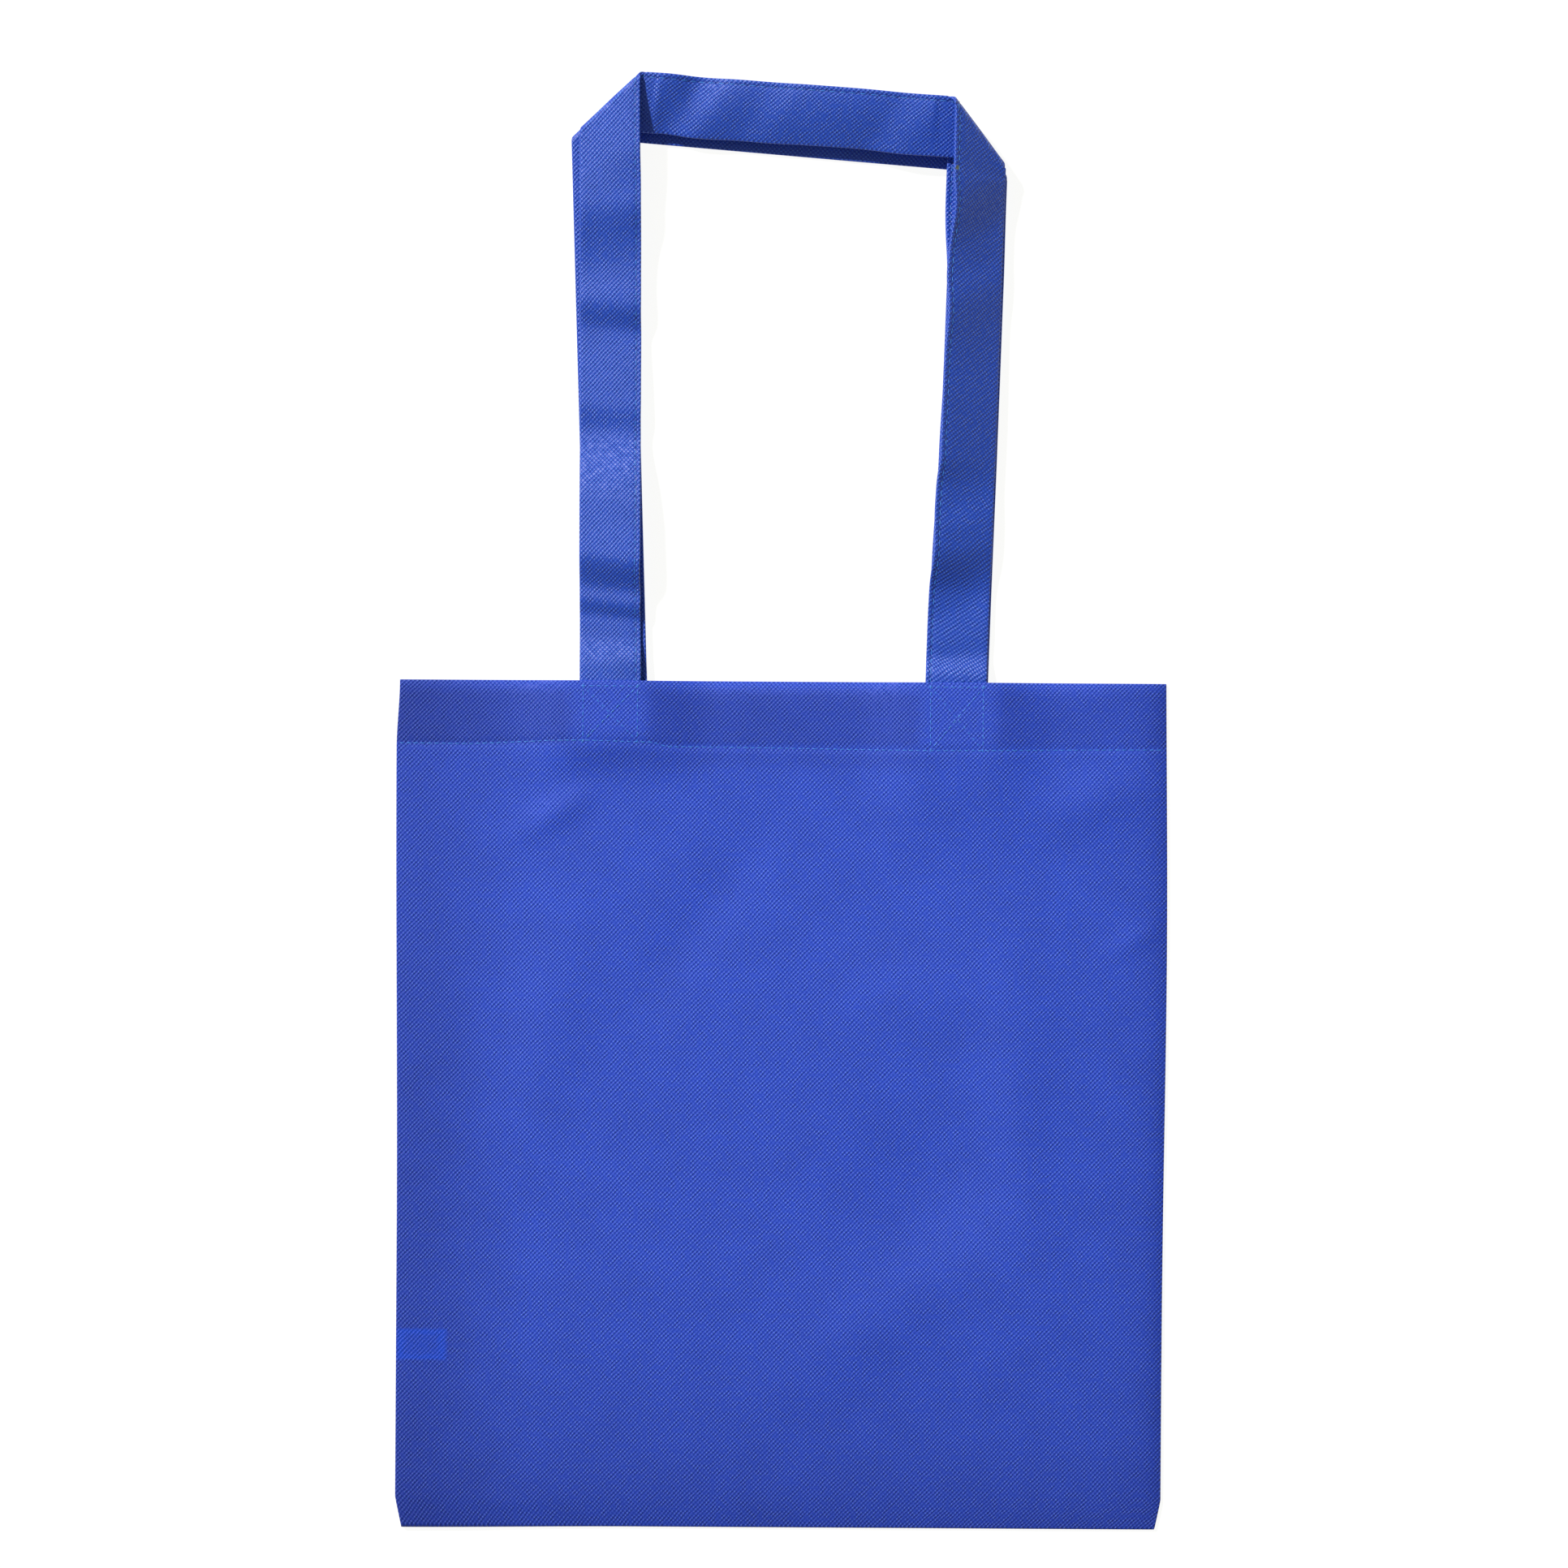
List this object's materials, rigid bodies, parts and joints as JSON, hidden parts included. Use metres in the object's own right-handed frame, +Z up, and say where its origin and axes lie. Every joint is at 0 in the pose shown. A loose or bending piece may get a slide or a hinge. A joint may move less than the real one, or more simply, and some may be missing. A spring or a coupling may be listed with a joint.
{
  "type": "non-woven tote bag",
  "caption": "Flat unlined non-woven tote bag with an open hemmed mouth and long folded strap handles, lying empty on its back panel.",
  "frame": {"origin": "middle of the footprint of the bag and its laid-out handles, on the surface that it lies on", "axes": "+X across the bag, +Y from the bottom fold towards the handles, +Z up out of the front panel"},
  "size_m": [0.38, 0.7232, 0.0203],
  "materials": {
    "spunbond_cloth": "royal blue spunbond polypropylene with a fine embossed lattice",
    "label_tape": "white satin tape, blank"
  },
  "bodies": {
    "root": {"bag_body": "spunbond_cloth", "front_handle": "spunbond_cloth", "back_handle": "spunbond_cloth", "care_label": "label_tape"}
  },
  "joints": []
}
